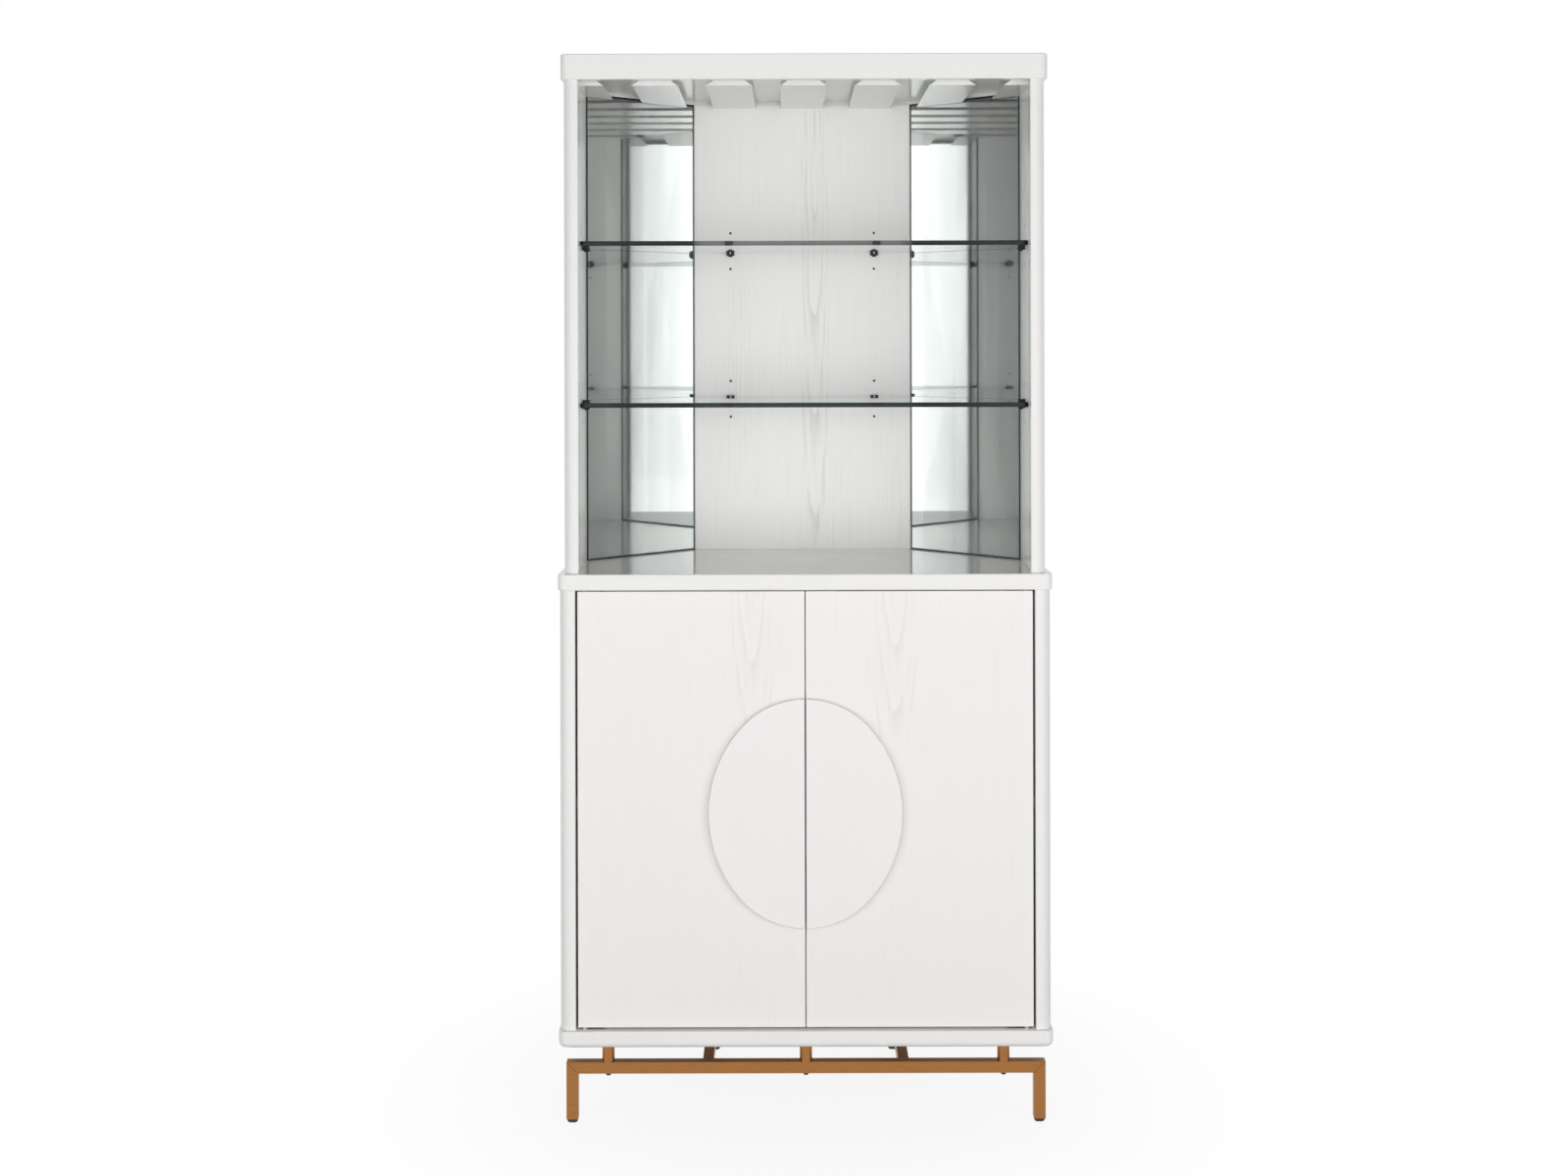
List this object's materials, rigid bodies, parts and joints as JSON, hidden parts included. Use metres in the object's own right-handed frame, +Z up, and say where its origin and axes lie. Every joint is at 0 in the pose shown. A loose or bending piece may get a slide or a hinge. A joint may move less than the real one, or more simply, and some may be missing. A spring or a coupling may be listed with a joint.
{
  "type": "corner wine cabinet",
  "caption": "Corner wine cabinet with a two-door lower cupboard on a metal base and an open mirrored upper stage with glass shelves and a hanging stemware rack.",
  "frame": {"origin": "floor level, middle of the plan's bounding box", "axes": "+X to the right seen from the front, +Y to the back into the room's corner, +Z up"},
  "size_m": [0.92, 0.457, 1.997],
  "materials": {
    "grained_white": "satin white over open grain",
    "painted_white": "smooth satin white",
    "bronze_metal": "satin bronze coating",
    "bolt_steel": "zinc plated",
    "glide_plastic": "black moulded",
    "shelf_glass": "clear, ground green edges",
    "mirror_glass": "silvered, dark cut edge",
    "clip_metal": "dark gunmetal",
    "hinge_steel": "plain",
    "catch_plastic": "white moulded",
    "bare_beech": "bare beech"
  },
  "bodies": {
    "root": {"base_bolts": "bolt_steel", "base_front_bar": "bronze_metal", "base_rail_left": "bronze_metal", "base_rail_right": "bronze_metal", "base_rear_bar": "bronze_metal", "base_standoffs": "bronze_metal", "bottom_board": "painted_white", "cabinet_shelf_left": "painted_white", "cabinet_shelf_pins": "hinge_steel", "cabinet_shelf_right": "painted_white", "centre_divider": "painted_white", "cornice": "painted_white", "countertop": "grained_white", "foot_glides": "glide_plastic", "frame_hinge_leaves_left": "hinge_steel", "frame_hinge_leaves_right": "hinge_steel", "front_leg_left": "bronze_metal", "front_leg_right": "bronze_metal", "glass_shelf_lower": "shelf_glass", "glass_shelf_upper": "shelf_glass", "locating_tongues": "bare_beech", "lower_back_panel": "grained_white", "lower_post_left": "painted_white", "lower_post_right": "painted_white", "lower_rear_wall_left": "painted_white", "lower_rear_wall_right": "painted_white", "lower_side_panel_left": "painted_white", "lower_side_panel_right": "painted_white", "magnetic_catches": "catch_plastic", "mirror_left": "mirror_glass", "mirror_right": "mirror_glass", "rear_leg_left": "bronze_metal", "rear_leg_right": "bronze_metal", "shelf_clips_lower": "clip_metal", "shelf_clips_upper": "clip_metal", "stemware_slat_left_end": "painted_white", "stemware_slat_left_inner": "painted_white", "stemware_slat_left_outer": "painted_white", "stemware_slat_middle": "painted_white", "stemware_slat_right_end": "painted_white", "stemware_slat_right_inner": "painted_white", "stemware_slat_right_outer": "painted_white", "upper_back_panel": "grained_white", "upper_post_left": "painted_white", "upper_post_right": "painted_white", "upper_rear_wall_left": "painted_white", "upper_rear_wall_right": "painted_white", "upper_side_panel_left": "painted_white", "upper_side_panel_right": "painted_white"},
    "left_door": {"door_left": "grained_white", "half_moon_left": "painted_white", "strike_plate_left": "hinge_steel", "door_hinge_leaves_left": "hinge_steel"},
    "right_door": {"door_right": "grained_white", "half_moon_right": "painted_white", "strike_plate_right": "hinge_steel", "door_hinge_leaves_right": "hinge_steel"}
  },
  "joints": [
    {"name": "left_door_swing", "type": "hinge", "parent": "root", "child": "left_door", "pos_m": [-0.412, -0.2075, 0.59075], "axis": [0, 0, -1], "range_deg": [0, 105]},
    {"name": "right_door_swing", "type": "hinge", "parent": "root", "child": "right_door", "pos_m": [0.412, -0.2075, 0.59075], "axis": [0, 0, 1], "range_deg": [0, 105]}
  ]
}
